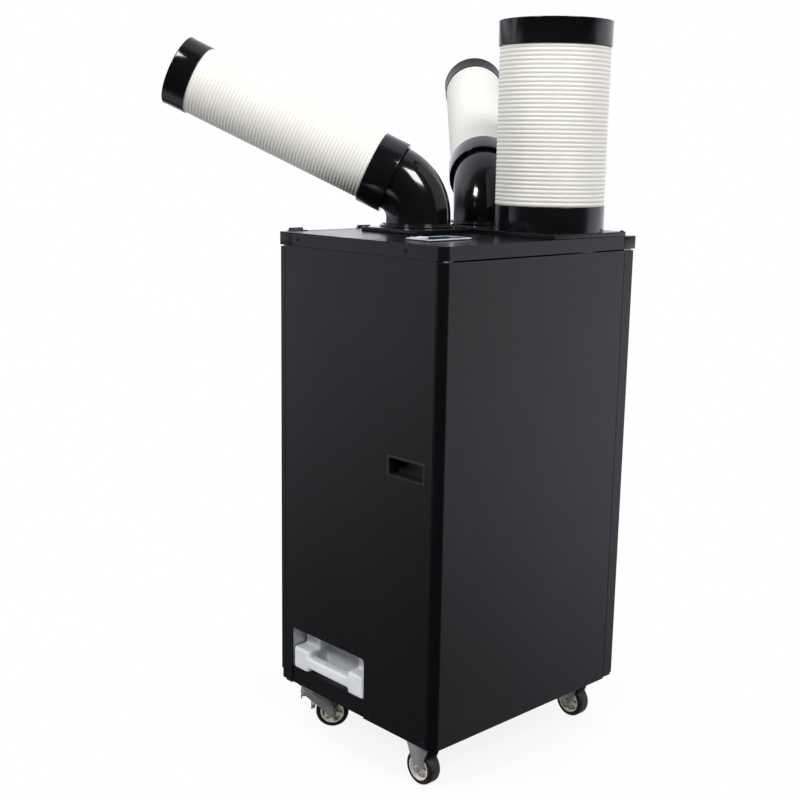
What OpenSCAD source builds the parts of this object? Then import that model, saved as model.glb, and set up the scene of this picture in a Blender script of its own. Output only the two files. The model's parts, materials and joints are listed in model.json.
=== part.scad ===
// Portable spot air conditioner on castors: two swivelling cold ducts and one
// warm-air exhaust duct on the lid. X runs along the smooth rear panel, Y runs
// from the operator's side to the grille side, Z is up and the floor is z = 0.

/* [Cabinet] */
// Width of the panelled cabinet, along X
cab_w = 590; // [580:1:600]
// Depth of the panelled cabinet, along Y
cab_d = 497; // [490:1:500]
// Height of the side panels
panel_h = 1000; // [980:5:1040]
// Gap from the floor to the lower edge of the panels
ground_gap = 97; // [92:1:110]
// Sheet steel thickness
sheet = 2; // [1.5:0.5:2.5]
// Outer radius of the rounded cabinet corner
corner_r = 18; // [12:1:20]
// Height of the lid's rim
rim_h = 28; // [24:1:32]
// Overhang of the lid at the two grille sides
lid_over = 3; // [2:1:4]

/* [Ducts] */
// Side of the exhaust's square base plate
exhaust_plate = 238; // [232:1:238]
// Outer radius of the exhaust collars
exhaust_r = 119.5; // [119:0.5:122]
// Free length of the exhaust hose between its collars
exhaust_len = 331; // [200:1:500]
// Side of the square base plate of a cold duct
cold_plate = 176; // [172:1:176]
// Outer radius of the cold duct's elbow
elbow_r = 71; // [66:0.5:71]
// Centre-line radius of the elbow's bend
bend_r = 92; // [88:1:110]
// Angle of the elbow's bend from the vertical
bend_deg = 65; // [30:1:80]
// Outer radius of the cold hose
hose_r = 74.5; // [73:0.5:74.5]
// Free length of the left cold hose between its collars
left_hose_len = 423; // [200:1:500]
// Free length of the right cold hose between its collars
right_hose_len = 443; // [200:1:500]
// Heading of the left cold duct, anticlockwise from +X
heading_left = 131; // [95:1:179]
// Heading of the right cold duct, anticlockwise from +X
heading_right = 47; // [1:1:85]

/* [Castors] */
// Wheel radius
wheel_r = 37.5; // [36:0.5:38]
// Wheel width
wheel_w = 32; // [28:1:34]
// Trail of a swivelling wheel behind its pivot
trail = 38; // [34:1:42]
// Direction of the trail, anticlockwise from +X
trail_deg = -43; // [-90:1:0]

/* [Drain tank] */
// Width of the tank, along Y
tank_w = 240; // [220:1:240]
// Length of the tank, along X
tank_l = 247; // [200:1:247]
// Height of the tank's main body
tank_h = 90; // [70:1:92]

/* [Hidden] */
$fn = 96;
eps = 0.01;
gap = 0.3;

// Cabinet faces
x0 = -298;
x1 = x0 + cab_w;
y0 = -250;
y1 = y0 + cab_d;
z0 = ground_gap;
z1 = z0 + panel_h;
lid_z = z1 + rim_h;
lid_x1 = x1 + lid_over * 2;
lid_y1 = y1 + lid_over;

// Folded base pan and the posts that stand in it
pan_z = z0 + sheet;
pan_h = 39;
floor_z = pan_z + sheet;
post = 25;
shelf_z = z0 + 463;

// Grille frames and the rails above them
frame_return = 30;
rail = 40;
door_t = 14;
filter_t = 8;
front_door = [x0 + 37, z0 + 464, 486, 505];
side_door = [y0 + 73, z0 + 54, 379, 450];

// Hand grips
grip_y = y0 + 92;
grip_z = z0 + 578;
grip_size = [113, 46];
grip_hole = [104, 41];
pocket_size = [98, 35];
pocket_depth = 30;
pocket_wall = 2.5;

// Control panel on the lid
panel_at = [-234, -149];
panel_size = [118, 72];
panel_t = 4.2;
panel_rim = 3.5;
membrane_t = 1.2;
pocket_floor = 1.2;
rocker_at = [-216, -98];
rocker_size = 26;
key_row = -129;
key_pitch = 26;
key_first = -214;
key_size = [14, 10];

// Ducts on the lid
exhaust_at = [147, -127];
left_at = [-44, 84];
right_at = [167, 84];
plate_t = 10;
hole_r = 106;
deck_z = lid_z + plate_t;
duct_wall = 3;
exhaust_collar_h = 54;
exhaust_end_h = 52;
exhaust_hose_r = exhaust_r - 1.5;
exhaust_cuff = 35;
hose_z = deck_z + exhaust_collar_h;
end_z = hose_z + exhaust_len;
ring_h = 6;
ring_r = elbow_r + 14;
elbow_neck = 22;
collar_len = 56;
collar_r = elbow_r + 9;
hose_insert = 40;
nozzle_len = 51;
nozzle_r = hose_r + 2;

// Drain tank bay in the left panel
bay_y0 = -37;
bay_y1 = 209;
bay_top = 232;
bay_x1 = -46;
tank_z = pan_z + pan_h + gap;
tank_x0 = x0 + 1;
tank_y0 = (bay_y0 + bay_y1 - tank_w) / 2;
tank_mid = (bay_y0 + bay_y1) / 2;
tank_t = 3;
neck_at = [-120, tank_mid];
neck_r = 28;
neck_h = 4;
neck_drop = 10;
neck_z = tank_z + tank_h - neck_drop;

// Castors
axle_r = 4;
running = 0.05;
leg_x = wheel_w / 2 + 2.3;
leg_t = 2.5;
castor_plate_t = 3;
plate_z = pan_z - castor_plate_t;
race_h = 6;
kingpin_r = 6;
rear_y = -192;
front_y = 163;
castor_x = [-265, 225];
pin_r = 2.5;
pin_at = [-13, plate_z - 20];
tyre_t = 10.5;
hub_r = wheel_r - tyre_t;

// Mains inlet in the side frame
inlet_y = -201;
inlet_z = 190;

module slab(at, size) {
    translate(at)
        cube(size);
}

module tube(r_out, r_in, h) {
    difference() {
        cylinder(r = r_out, h = h);
        translate([0, 0, -1])
            cylinder(r = r_in, h = h + 2);
    }
}

// Plate with rounded corners, from its low corner
module rounded_slab(at, size, r) {
    translate(at) {
        translate([r, 0, 0])
            cube([size[0] - 2 * r, size[1], size[2]]);
        translate([0, r, 0])
            cube([size[0], size[1] - 2 * r, size[2]]);
        for (x = [r, size[0] - r], y = [r, size[1] - r])
            translate([x, y, 0])
                cylinder(r = r, h = size[2], $fn = 48);
    }
}

// Plan outline of the cabinet, inset by d, running on past its two grille sides
module plan(d, over = 0) {
    r = corner_r - d;
    translate([x0 + d + r, y0 + d])
        square([x1 - x0 + over, y1 - y0 + over]);
    translate([x0 + d, y0 + d + r])
        square([x1 - x0 + over, y1 - y0 + over]);
    translate([x0 + corner_r, y0 + corner_r])
        circle(r = r);
}

module cut_plan(d, lx, ly) {
    intersection() {
        plan(d, 60);
        translate([x0, y0])
            square([lx - x0, ly - y0]);
    }
}

// Folded tray under the cabinet: floor and an upstand all round
module base_pan() {
    color([0.06, 0.06, 0.065])
        translate([0, 0, pan_z])
            difference() {
                linear_extrude(pan_h)
                    cut_plan(sheet, x1 - sheet, y1 - sheet);
                translate([0, 0, sheet])
                    linear_extrude(pan_h)
                        cut_plan(2 * sheet, x1 - 2 * sheet, y1 - 2 * sheet);
            }
}

module angle_post(at, turn) {
    translate([at[0], at[1], floor_z])
        rotate([0, 0, turn])
            difference() {
                cube([post, post, lid_z - sheet - floor_z]);
                translate([sheet, sheet, -1])
                    cube([post, post, lid_z]);
            }
}

// Four angle posts and the shelf that parts the warm side from the cold side
module chassis() {
    color([0.62, 0.64, 0.66]) {
        angle_post([x0 + 10, y0 + 10], 0);
        angle_post([x1 - 2 * sheet, y0 + 2 * sheet], 90);
        angle_post([x1 - 2 * sheet, y1 - 2 * sheet], 180);
        angle_post([x0 + 2 * sheet, y1 - 2 * sheet], 270);
        difference() {
            slab([x0 + 2 * sheet, y0 + 10 + post, shelf_z],
                [cab_w - 4 * sheet - post, cab_d - 14 - 2 * post, sheet]);
            translate([exhaust_at[0], exhaust_at[1], shelf_z - 1])
                cylinder(r = 100, h = 4);
        }
    }
}

// Smooth panel on the operator's side, wrapped round the cabinet's corner
module rear_panel() {
    color([0.09, 0.09, 0.1])
        translate([0, 0, z0])
            linear_extrude(panel_h - 3)
                difference() {
                    intersection() {
                        plan(0);
                        translate([x0, y0])
                            square([x1 - x0 - frame_return - 1, corner_r]);
                    }
                    plan(sheet, 60);
                }
}

// Opening for a hand grip in the panel at x
module grip_cutout(x) {
    slab([x - 5, grip_y - grip_hole[0] / 2, grip_z - grip_hole[1] / 2],
        [10, grip_hole[0], grip_hole[1]]);
}

// Side panel with the notch for the drain tank, rounded at its upper corner
module left_panel() {
    seam = y0 + corner_r + 1;
    notch_r = 8;
    color([0.09, 0.09, 0.1])
        difference() {
            slab([x0, seam, z0], [sheet, y1 - 16 - seam, panel_h - 0.5]);
            slab([x0 - 1, bay_y0, z0 - 1], [sheet + 2, bay_y1 - bay_y0, bay_top - notch_r - z0 + 1]);
            slab([x0 - 1, bay_y0 + notch_r, z0 - 1],
                [sheet + 2, bay_y1 - bay_y0 - notch_r, bay_top - z0 + 1]);
            translate([x0 - 1, bay_y0 + notch_r, bay_top - notch_r])
                rotate([0, 90, 0])
                    cylinder(r = notch_r, h = sheet + 2);
            grip_cutout(x0);
        }
}

// Frame round the intake grille on the +Y side
module front_frame() {
    clear = 1;
    color([0.09, 0.09, 0.1])
        difference() {
            union() {
                slab([x0, y1 - sheet, z0 + 25], [cab_w - frame_return, sheet, panel_h - 28]);
                slab([x0, y1 - 15, z0 + 25], [sheet, 15, panel_h - 28]);
            }
            slab([front_door[0] - clear, y1 - 10, front_door[1] - 2.5],
                [front_door[2] + 2 * clear, 20, front_door[3] + 2.5 + clear]);
        }
}

// Frame round the intake grille on the +X side, with the inlet's cut-out
module side_frame() {
    clear = 1;
    color([0.09, 0.09, 0.1])
        difference() {
            union() {
                slab([x1 - sheet, y0, z0 + 8], [sheet, cab_d, panel_h - 11]);
                slab([x1 - frame_return, y0, z0 + 8], [frame_return, sheet, panel_h - 11]);
                slab([x1 - frame_return + 1, y1 - sheet, z0 + 8],
                    [frame_return - 1, sheet, panel_h - 11]);
            }
            slab([x1 - 10, side_door[0] - clear, side_door[1] - 2.5],
                [20, side_door[2] + 2 * clear, side_door[3] + 2.5 + clear]);
            grip_cutout(x1);
            slab([x1 - 5, inlet_y - 14.2, inlet_z - 10.2], [10, 28.4, 20.4]);
        }
}

// Lid pan with its rim folded down on the two smooth sides
module lid() {
    lx = lid_x1 - rail - 0.5;
    ly = lid_y1 - rail - 0.5;
    color([0.1, 0.1, 0.11])
        difference() {
            translate([0, 0, z1])
                linear_extrude(rim_h)
                    cut_plan(0, lx, ly);
            translate([0, 0, z1 - 1])
                linear_extrude(rim_h - sheet + 1)
                    plan(sheet, 60);
            translate([exhaust_at[0], exhaust_at[1], z1])
                cylinder(r = hole_r, h = 60);
            for (at = [left_at, right_at])
                translate([at[0], at[1], z1])
                    cylinder(r = 66, h = 60);
        }
}

// Rails above the two grille frames, flush with the lid
module top_rails() {
    h = rim_h;
    ox = lid_x1 - rail;
    oy = lid_y1 - rail;
    color([0.08, 0.08, 0.09])
        difference() {
            union() {
                slab([x0, oy, z1], [lid_x1 - x0, rail, h]);
                slab([ox, y0, z1], [rail, lid_y1 - y0, h]);
            }
            slab([x0 + sheet, oy - 1, z1 - 1],
                [lid_x1 - x0 - 2 * sheet, rail + 1 - sheet, h - sheet + 1]);
            slab([ox - 1, y0 + sheet, z1 - 1],
                [rail + 1 - sheet, lid_y1 - y0 - 2 * sheet, h - sheet + 1]);
        }
}

// Small spring catches on the rail that hold the grille's top edge
module rail_catches() {
    color([0.05, 0.05, 0.05])
        for (x = [-83, x0 + 18])
            translate([x, lid_y1 - 20, lid_z]) {
                cube([44, 18, 2]);
                translate([4, 12, 2])
                    cube([36, 6, 5]);
            }
}

module grip() {
    w = grip_size[0];
    h = grip_size[1];
    p = [pocket_size[0] + 2 * pocket_wall, pocket_size[1] + 2 * pocket_wall];
    difference() {
        union() {
            rotate([0, -90, 0])
                rounded_slab([-h / 2, -w / 2, 0], [h, w, 1.6], 5);
            translate([0, -p[0] / 2, -p[1] / 2])
                cube([pocket_depth, p[0], p[1]]);
        }
        translate([-5, -pocket_size[0] / 2, -pocket_size[1] / 2])
            cube([pocket_depth + 5 - pocket_wall, pocket_size[0], pocket_size[1]]);
    }
}

// Moulded hand pockets let into the left panel and the side frame
module grips() {
    color([0.05, 0.05, 0.055]) {
        translate([x0, grip_y, grip_z])
            grip();
        translate([x1, grip_y, grip_z])
            mirror([1, 0, 0])
                grip();
    }
}

module screw_head() {
    difference() {
        union() {
            cylinder(r = 4.4, h = 0.8, $fn = 32);
            cylinder(r = 3.6, h = 2.2, $fn = 32);
        }
        for (a = [0, 90])
            rotate([0, 0, a])
                translate([-2.2, -0.5, 1.2])
                    cube([4.4, 1, 2]);
    }
}

// Heads of the sheet-metal screws in the rim, the panels and the duct plates
module screws() {
    rim_z = z1 + rim_h / 2;
    left = [[y0 + 107, rim_z], [y0 + 441, rim_z], [y0 + 340, z0 + 143], [y0 + 191, z0 + 7],
        [y0 + 28, z0 + 12]];
    color([0.12, 0.12, 0.12]) {
        for (p = left)
            translate([x0, p[0], p[1]])
                rotate([0, -90, 0])
                    screw_head();
        for (y = [y0 + 90, y0 + 400])
            translate([lid_x1, y, rim_z])
                rotate([0, 90, 0])
                    screw_head();
        for (x = [x0 + 90, x0 + 500])
            translate([x, lid_y1, rim_z])
                rotate([-90, 0, 0])
                    screw_head();
        for (sx = [-1, 1], sy = [-1, 1]) {
            translate([exhaust_at[0] + sx * 113, exhaust_at[1] + sy * 113, deck_z])
                screw_head();
            for (at = [left_at, right_at])
                translate([at[0] + sx * 80, at[1] + sy * 80, deck_z])
                    screw_head();
        }
    }
}

// Louvred grille: a frame filled with sloping slats, w wide, h high, t deep
module louvre(w, h, t) {
    border = 16;
    pitch = 14;
    slats = floor((h - 2 * border) / pitch);
    difference() {
        cube([w, t, h]);
        translate([border, -1, border])
            cube([w - 2 * border, t + 2, h - 2 * border]);
    }
    for (i = [0 : slats - 1])
        translate([border, 2, border + (i + 0.5) * (h - 2 * border) / slats])
            rotate([35, 0, 0])
                translate([-eps, 0, -1])
                    cube([w - 2 * border + 2 * eps, t - 4, 1.6]);
    for (x = [w / 3, 2 * w / 3])
        translate([x - 2, 1, border - eps])
            cube([4, t - 8, h - 2 * border + 2 * eps]);
}

// Filter sheet in a thin frame with two cross ribs
module filter(w, h, t) {
    b = 10;
    difference() {
        cube([w, t, h]);
        translate([b, -1, b])
            cube([w - 2 * b, 3, h - 2 * b]);
        translate([b, t - 2, b])
            cube([w - 2 * b, 3, h - 2 * b]);
    }
}

module front_grille() {
    color([0.07, 0.07, 0.075])
        translate([front_door[0], y1 - door_t, front_door[1]])
            louvre(front_door[2], front_door[3], door_t);
}

module front_filter() {
    color([0.25, 0.27, 0.29])
        translate([front_door[0] + 4, y1 - door_t - filter_t, front_door[1] + 4])
            filter(front_door[2] - 8, front_door[3] - 8, filter_t);
}

module side_grille() {
    color([0.07, 0.07, 0.075])
        translate([x1 - door_t, side_door[0] + side_door[2], side_door[1]])
            rotate([0, 0, -90])
                louvre(side_door[2], side_door[3], door_t);
}

module side_filter() {
    color([0.25, 0.27, 0.29])
        translate([x1 - door_t - filter_t, side_door[0] + side_door[2] - 4, side_door[1] + 4])
            rotate([0, 0, -90])
                filter(side_door[2] - 8, side_door[3] - 8, filter_t);
}

function key_x(i) = key_first + i * key_pitch;

// Pockets or holes for the keys and the rocker, from height z up
module control_holes(z) {
    for (i = [0 : 3])
        slab([key_x(i) - key_size[0] / 2 - gap, key_row - key_size[1] / 2 - gap, z],
            [key_size[0] + 2 * gap, key_size[1] + 2 * gap, 10]);
    w = rocker_size + 4 * gap;
    slab([rocker_at[0] - w / 2, rocker_at[1] - w / 2, z], [w, w, 10]);
}

// Face of the control panel, inset by d from its outline
module control_face(d, z, h) {
    rounded_slab([panel_at[0] + d, panel_at[1] + d, z],
        [panel_size[0] - 2 * d, panel_size[1] - 2 * d, h], 3);
}

// Control panel's base: a rim, a bed for the membrane and pockets for what moves
module control_bezel() {
    color([0.85, 0.88, 0.9])
        difference() {
            control_face(0, lid_z, panel_t);
            control_face(panel_rim, lid_z + panel_t - membrane_t - 0.2, 10);
            control_holes(lid_z + pocket_floor);
        }
}

// Membrane over the panel's face, with the display's window printed in it
module control_display() {
    color([0.05, 0.08, 0.2])
        difference() {
            control_face(panel_rim + 0.2, lid_z + panel_t - membrane_t - 0.2, membrane_t);
            control_holes(lid_z);
        }
}

// Rocker with its two ends raised
module power_rocker() {
    w = rocker_size / 2;
    color([0.9, 0.9, 0.88])
        translate([rocker_at[0], rocker_at[1] + w, lid_z + pocket_floor + 2.2])
            rotate([90, 0, 0])
                linear_extrude(rocker_size)
                    polygon([[-w, 0], [w, 0], [w, 3.4], [6, 2.4], [-6, 2.4], [-w, 3.4]]);
}

// Flat key that stands just above the membrane and can sink by a millimetre
module key(i) {
    travel = 1.2;
    color([0.06, 0.1, 0.24])
        rounded_slab([key_x(i) - key_size[0] / 2, key_row - key_size[1] / 2,
            lid_z + pocket_floor + travel], [key_size[0], key_size[1], 2], 1.5);
}

module key_mode() {
    key(0);
}

module key_fan() {
    key(1);
}

module key_up() {
    key(2);
}

module key_down() {
    key(3);
}

// Square plate that carries the exhaust collar
module exhaust_base() {
    color([0.06, 0.06, 0.065])
        difference() {
            slab([exhaust_at[0] - exhaust_plate / 2, exhaust_at[1] - exhaust_plate / 2, lid_z],
                [exhaust_plate, exhaust_plate, plate_t]);
            translate([exhaust_at[0], exhaust_at[1], lid_z - 1])
                cylinder(r = hole_r, h = plate_t + 2);
        }
}

module exhaust_collar() {
    color([0.05, 0.05, 0.055])
        translate([exhaust_at[0], exhaust_at[1], deck_z])
            tube(exhaust_r, exhaust_hose_r - 2, exhaust_collar_h);
}

// Corrugated exhaust hose, drawn as its crest tube and the cuff in the collar
module exhaust_hose() {
    cuff_r = exhaust_hose_r - 2 - gap;
    color([0.9, 0.89, 0.84])
        translate([exhaust_at[0], exhaust_at[1], 0]) {
            translate([0, 0, hose_z - exhaust_cuff])
                tube(cuff_r, cuff_r - duct_wall, exhaust_cuff + gap + 3);
            translate([0, 0, hose_z + gap])
                tube(exhaust_hose_r, cuff_r - duct_wall, exhaust_len - gap);
        }
}

module exhaust_end() {
    inner = exhaust_hose_r - duct_wall;
    color([0.05, 0.05, 0.055])
        translate([exhaust_at[0], exhaust_at[1], end_z])
            difference() {
                union() {
                    cylinder(r = exhaust_r + 1, h = exhaust_end_h);
                    translate([0, 0, exhaust_end_h - 4])
                        cylinder(r = exhaust_r + 2, h = 4);
                }
                translate([0, 0, -1])
                    cylinder(r = inner, h = exhaust_end_h + 2);
            }
}

// Sheet flue from the shelf to the exhaust, with the fan's stator spider
module exhaust_flue() {
    color([0.66, 0.67, 0.68])
        translate([exhaust_at[0], exhaust_at[1], shelf_z + sheet]) {
            tube(108, 106.5, lid_z - shelf_z - 2 * sheet);
            for (a = [0, 120, 240])
                rotate([0, 0, a])
                    translate([20, -6, 60])
                        cube([87, 12, 4]);
            translate([0, 0, 58])
                cylinder(r = 26, h = 8);
            translate([0, 0, 58])
                cylinder(r = 6, h = 70);
        }
}

module exhaust_fan() {
    color([0.3, 0.3, 0.32])
        translate([exhaust_at[0], exhaust_at[1], shelf_z + sheet + 70])
            difference() {
                union() {
                    cylinder(r = 42, h = 56);
                    for (a = [0 : 60 : 300])
                        rotate([0, 0, a])
                            translate([38, 0, 28])
                                rotate([38, 0, 0])
                                    translate([0, -24, -1.5])
                                        cube([60, 48, 3]);
                }
                translate([0, 0, -1])
                    cylinder(r = 6 + running, h = 60);
            }
}

// Square plates with raised rings in which the elbows turn
module cold_bases() {
    color([0.06, 0.06, 0.065])
        for (at = [left_at, right_at])
            translate([at[0], at[1], lid_z])
                difference() {
                    union() {
                        translate([-cold_plate / 2, -cold_plate / 2, 0])
                            cube([cold_plate, cold_plate, plate_t]);
                        cylinder(r = ring_r, h = plate_t + ring_h);
                        cylinder(r = ring_r - 6, h = plate_t + ring_h + 4);
                    }
                    translate([0, 0, -1])
                        cylinder(r = elbow_r - 5, h = 60);
                    translate([0, 0, plate_t])
                        cylinder(r = elbow_r + 1 + gap, h = 60);
                }
}

// Places its children at the end of an elbow's bend, looking along the duct
module duct(at, heading) {
    translate([at[0], at[1], deck_z + elbow_neck])
        rotate([0, 0, heading])
            translate([bend_r * (1 - cos(bend_deg)), 0, bend_r * sin(bend_deg)])
                rotate([0, bend_deg, 0])
                    children();
}

// Elbow: a slightly thicker neck that turns in the base ring, then the bend
module elbow(at, heading) {
    color([0.04, 0.04, 0.045]) {
        translate([at[0], at[1], deck_z + gap])
            tube(elbow_r + 1, elbow_r - duct_wall - 1, elbow_neck - gap);
        translate([at[0], at[1], deck_z + elbow_neck])
            rotate([0, 0, heading])
                translate([bend_r, 0, 0])
                    rotate([90, 0, 0])
                        rotate([0, 0, 180 - bend_deg])
                            rotate_extrude(angle = bend_deg)
                                translate([bend_r, 0])
                                    difference() {
                                        circle(r = elbow_r);
                                        circle(r = elbow_r - duct_wall);
                                    }
    }
}

// Socket on the elbow's end, in which the hose is pushed
module hose_collar(at, heading) {
    floor_t = 4;
    color([0.04, 0.04, 0.045])
        duct(at, heading)
            difference() {
                cylinder(r = collar_r, h = collar_len);
                translate([0, 0, -1])
                    cylinder(r = elbow_r - duct_wall, h = collar_len);
                translate([0, 0, floor_t])
                    cylinder(r = hose_r + gap, h = collar_len);
            }
}

module cold_hose(at, heading, free) {
    color([0.9, 0.89, 0.84])
        duct(at, heading)
            translate([0, 0, collar_len - hose_insert])
                tube(hose_r, hose_r - duct_wall, hose_insert + free);
}

module nozzle(at, heading, free) {
    color([0.04, 0.04, 0.045])
        duct(at, heading)
            translate([0, 0, collar_len + free])
                difference() {
                    union() {
                        cylinder(r = nozzle_r, h = nozzle_len);
                        translate([0, 0, nozzle_len - 4])
                            cylinder(r = nozzle_r + 1, h = 4);
                    }
                    translate([0, 0, -1])
                        cylinder(r = hose_r - 2, h = nozzle_len + 2);
                }
}

module elbow_left() {
    elbow(left_at, heading_left);
}

module hose_collar_left() {
    hose_collar(left_at, heading_left);
}

module cold_hose_left() {
    cold_hose(left_at, heading_left, left_hose_len);
}

module nozzle_left() {
    nozzle(left_at, heading_left, left_hose_len);
}

module elbow_right() {
    elbow(right_at, heading_right);
}

module hose_collar_right() {
    hose_collar(right_at, heading_right);
}

module cold_hose_right() {
    cold_hose(right_at, heading_right, right_hose_len);
}

module nozzle_right() {
    nozzle(right_at, heading_right, right_hose_len);
}

// Galvanised liner of the tank's bay, open at the left panel
module tank_bay() {
    t = 1.5;
    z = pan_z + pan_h;
    color([0.7, 0.72, 0.72])
        difference() {
            slab([x0 + 2 * sheet, bay_y0 - t, z - t],
                [bay_x1 - x0 - 2 * sheet + t, bay_y1 - bay_y0 + 2 * t, bay_top + 7 - z + t]);
            slab([x0, bay_y0, z], [bay_x1 - x0, bay_y1 - bay_y0, bay_top + 5.5 - z]);
        }
}

// Shell of the tank's body, with blocks at its front corners and a hand bar between them
module tank_body() {
    ext = 35;
    block_h = 49;
    side_w = 54;
    bar = [25, 23];
    xm = tank_x0 + ext;
    hand = 21;
    difference() {
        union() {
            rounded_slab([xm, tank_y0, tank_z], [tank_l - ext, tank_w, tank_h], 9);
            for (y = [tank_y0, tank_y0 + tank_w - side_w])
                rounded_slab([tank_x0, y, tank_z], [ext + 20, side_w, block_h], 9);
            slab([tank_x0, tank_y0 + side_w - 10, tank_z + 11],
                [bar[0], tank_w - 2 * side_w + 20, bar[1]]);
        }
        slab([xm - 1, tank_y0 + side_w, tank_z - 1],
            [hand + 1, tank_w - 2 * side_w, tank_h + 2]);
        slab([xm + hand + tank_t, tank_y0 + tank_t, tank_z + tank_t],
            [tank_l - ext - hand - 2 * tank_t, tank_w - 2 * tank_t, tank_h - 2 * tank_t]);
    }
}

// Translucent blow-moulded tank, its neck and cap sunk below the top
module drain_tank() {
    color([0.85, 0.87, 0.88])
        difference() {
            union() {
                tank_body();
                translate([neck_at[0], neck_at[1], neck_z - tank_t])
                    cylinder(r = neck_r + 6 + tank_t, h = neck_drop + tank_t);
            }
            translate([neck_at[0], neck_at[1], neck_z])
                tube(neck_r + 6, neck_r, neck_drop + 1);
            translate([neck_at[0], neck_at[1], neck_z + neck_h])
                cylinder(r = neck_r + 1, h = neck_drop);
            translate([neck_at[0], neck_at[1], neck_z - 10])
                cylinder(r = neck_r - tank_t, h = 30);
        }
}

module tank_cap() {
    h = 6.5;
    color([0.15, 0.3, 0.55])
        translate([neck_at[0], neck_at[1], neck_z + gap])
            difference() {
                cylinder(r = neck_r + 3, h = h);
                translate([0, 0, -1])
                    cylinder(r = neck_r + gap, h = neck_h + 1.2);
                translate([0, 0, -1])
                    cylinder(r = 10, h = h + 2);
            }
}

// Three-pin appliance inlet, let into the side frame
module power_inlet() {
    color([0.05, 0.05, 0.05])
        translate([x1, inlet_y, inlet_z]) {
            difference() {
                union() {
                    translate([0, -18, -14])
                        cube([2, 36, 28]);
                    translate([-24, -14, -10])
                        cube([25, 28, 20]);
                }
                translate([-20, -12, -8])
                    cube([30, 24, 16]);
            }
            for (p = [[-7, -2], [0, 2], [7, -2]])
                translate([-20.5, p[0] - 1, p[1] - 2])
                    cube([12.5, 2, 4]);
        }
}

// Sealed compressor on rubber feet, with its suction accumulator
module compressor() {
    c = [100, 60];
    color([0.1, 0.1, 0.1]) {
        translate([c[0], c[1], floor_z + 14]) {
            cylinder(r = 70, h = 250);
            translate([0, 0, 250])
                sphere(r = 40);
            for (a = [45 : 90 : 315])
                rotate([0, 0, a])
                    translate([60, -12, 0])
                        cube([40, 24, 4]);
        }
        for (a = [45 : 90 : 315])
            translate([c[0], c[1], floor_z])
                rotate([0, 0, a])
                    translate([90, 0, 0])
                        cylinder(r = 9, h = 14);
        translate([c[0] - 108, c[1] + 10, floor_z + 70])
            cylinder(r = 28, h = 170);
        translate([c[0] - 82, c[1] + 2, floor_z + 150])
            cube([20, 16, 16]);
    }
}

// Finned coil: a fin block with return bends of pipe at both ends
module coil(w, t, h) {
    pitch = 50;
    cube([w, t, h]);
    for (z = [30 : pitch : h - 50], x = [0, w])
        translate([x, t / 2, z + 10])
            rotate([0, 90, 0])
                rotate([0, 0, 90])
                    rotate([90, 0, 0])
                        rotate([0, 0, x == 0 ? 90 : -90])
                            rotate_extrude(angle = 180)
                                translate([10, 0])
                                    circle(r = 4, $fn = 24);
}

module condenser_coil() {
    color([0.7, 0.68, 0.62])
        translate([x1 - 30, y0 + 56, z0 + 30])
            rotate([0, 0, 90])
                coil(380, 26, 420);
}

module evaporator_coil() {
    color([0.7, 0.68, 0.62])
        translate([x0 + 46, y1 - 60, shelf_z + 40])
            coil(470, 26, 440);
}

// Scroll of the cold-air blower and the plenum below the two cold ducts
module blower_housing() {
    at = [60, 84, shelf_z + 190];
    t = 1.5;
    w = 170;
    color([0.5, 0.52, 0.54])
        difference() {
            union() {
                translate([at[0] - w / 2, at[1], at[2]])
                    rotate([0, 90, 0])
                        cylinder(r = 92, h = w);
                slab([at[0] - w / 2, at[1] - 92, at[2]], [w, 110, 260]);
                slab([-134, -4, lid_z - 115], [388, 176, 113]);
            }
            translate([at[0] - w / 2 + t, at[1], at[2]])
                rotate([0, 90, 0])
                    cylinder(r = 92 - t, h = w - 2 * t);
            slab([at[0] - w / 2 + t, at[1] - 92 + t, at[2]], [w - 2 * t, 110 - 2 * t, 275]);
            slab([-134 + t, -4 + t, lid_z - 115 + t], [388 - 2 * t, 176 - 2 * t, 120]);
            translate([at[0] - w, at[1], at[2]])
                rotate([0, 90, 0])
                    cylinder(r = 50, h = 2 * w);
        }
}

// Double-inlet drum wheel: a centre disc and a ring of forward blades
module blower_wheel() {
    at = [60, 84, shelf_z + 190];
    w = 140;
    blades = 24;
    color([0.2, 0.2, 0.22])
        translate([at[0] - w / 2, at[1], at[2]])
            rotate([0, 90, 0]) {
                translate([0, 0, w / 2 - 2])
                    cylinder(r = 78, h = 4);
                cylinder(r = 10, h = w);
                for (z = [0, w - 3])
                    translate([0, 0, z])
                        tube(80, 68, 3);
                for (i = [0 : blades - 1])
                    rotate([0, 0, i * 360 / blades])
                        translate([69, -1, 0])
                            cube([9, 2, w]);
            }
}

// Top plates, ball races and kingpins of the two swivelling castors
module castor_tops() {
    w = 60;
    nut_h = 5;
    pin_h = 15;
    color([0.75, 0.77, 0.78])
        for (x = castor_x)
            translate([x, front_y, 0]) {
                rounded_slab([-w / 2, -w / 2, plate_z], [w, w, castor_plate_t], 5);
                translate([0, 0, plate_z - race_h])
                    cylinder(r = 21, h = race_h);
                translate([0, 0, plate_z - pin_h])
                    cylinder(r = kingpin_r, h = pin_h);
                translate([0, 0, plate_z - pin_h])
                    cylinder(r = 9, h = nut_h);
            }
}

// Side leg of a castor fork, tapering down to the round end at the axle
module leg(top_a, top_b, axle_x, top_z) {
    r = 10;
    rotate([90, 0, 0])
        linear_extrude(leg_t) {
            polygon([[top_a, top_z], [top_b, top_z], [axle_x + r * 0.95, wheel_r + r * 0.3],
                [axle_x - r * 0.95, wheel_r - r * 0.3]]);
            translate([axle_x, wheel_r])
                circle(r = r, $fn = 48);
        }
}

module legs(top_a, top_b, axle_x, top_z) {
    for (y = [leg_x + leg_t, -leg_x])
        translate([0, y, 0])
            leg(top_a, top_b, axle_x, top_z);
    translate([axle_x, 0, wheel_r])
        axle();
}

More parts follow.
